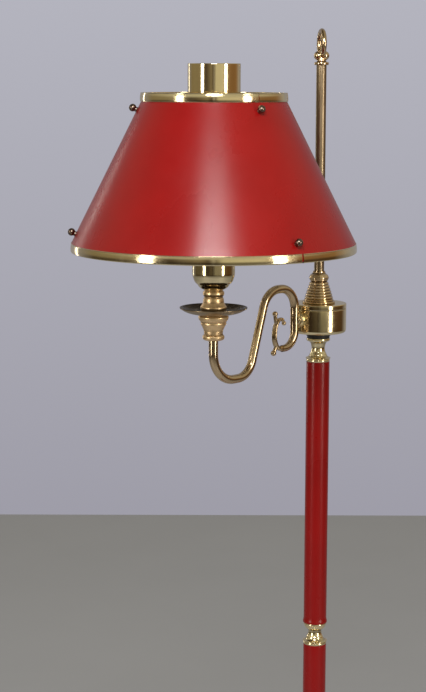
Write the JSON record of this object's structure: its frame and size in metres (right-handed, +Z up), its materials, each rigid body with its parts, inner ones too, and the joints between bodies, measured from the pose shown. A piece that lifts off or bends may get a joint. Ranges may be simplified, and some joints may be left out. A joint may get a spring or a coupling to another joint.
{
  "type": "floor lamp",
  "caption": "Pharmacy floor lamp: a red lacquered column on a weighted base, brass hub with a swan-neck arm that swivels, conical shade with brass bands and chimney.",
  "frame": {"origin": "on the column's axis, on the floor under the felt pad", "axes": "+Z up along the column, -Y along the arm towards the shade at rest, +X to the right of the arm seen from the shade's side of the lamp"},
  "size_m": [0.3, 0.455, 1.4142],
  "materials": {
    "red_lacquer": "semi-gloss red stove enamel on sheet steel and steel tube",
    "polished_brass": "polished and lacquered brass, mirror-like with soft wear",
    "satin_brass": "satin gold-tone turned brass",
    "aged_brass": "aged brass, brown in its hollows and bright on its crests",
    "bronze": "dark browned brass",
    "black_fibre": "black pressed fibre and moulded black bush",
    "bakelite": "black moulded thermoset",
    "zinc_steel": "zinc-plated steel",
    "turned_brass": "plain machined brass, inside the lamp",
    "iron": "rough grey casting",
    "felt": "dark green pressed felt",
    "bulb_glass": "thin clear glass, white coated",
    "lead_sheath": "pale soft plastic sheath",
    "terminal": "white moulded plastic"
  },
  "bodies": {
    "stand": {"base_felt": "felt", "base_weight": "iron", "base_cover": "red_lacquer", "base_rim_band": "polished_brass", "inlet_bush": "black_fibre", "base_collar": "polished_brass", "tie_washer": "zinc_steel", "tie_nut": "zinc_steel", "tie_pipe": "zinc_steel", "column_tube_lower": "red_lacquer", "column_tube_middle": "red_lacquer", "column_tube_upper": "red_lacquer", "coupler_lower": "polished_brass", "coupler_middle": "polished_brass", "top_collar": "polished_brass", "friction_washer": "black_fibre", "pivot_bush": "turned_brass", "stop_pin": "zinc_steel", "stepped_cone": "aged_brass", "finial_rod": "aged_brass", "finial_knuckle": "aged_brass", "finial_eye": "aged_brass"},
    "arm": {"shade_cone": "red_lacquer", "hub_housing": "polished_brass", "hub_lid": "polished_brass", "shade_band_low": "polished_brass", "shade_band_top": "polished_brass", "chimney": "polished_brass", "socket_cup": "polished_brass", "lower_vase": "satin_brass", "upper_vase": "satin_brass", "arm_boss": "aged_brass", "arm_tube": "aged_brass", "arm_scroll": "aged_brass", "drip_dish": "bronze", "ball_nuts": "bronze", "lamp_holder": "bakelite", "holder_ring": "bakelite", "boss_nut": "zinc_steel", "nipple": "zinc_steel", "shade_spider": "zinc_steel", "chimney_spider": "zinc_steel", "threaded_shell": "turned_brass", "centre_contact": "turned_brass", "bulb_cap": "turned_brass", "bulb_glass": "bulb_glass", "arm_lead": "lead_sheath", "terminal_block": "terminal"}
  },
  "joints": [
    {"name": "arm_swivel", "type": "hinge", "parent": "stand", "child": "arm", "pos_m": [0, 0, 1.0942], "axis": [0, 0, 1], "range_deg": [-155, 155]}
  ]
}
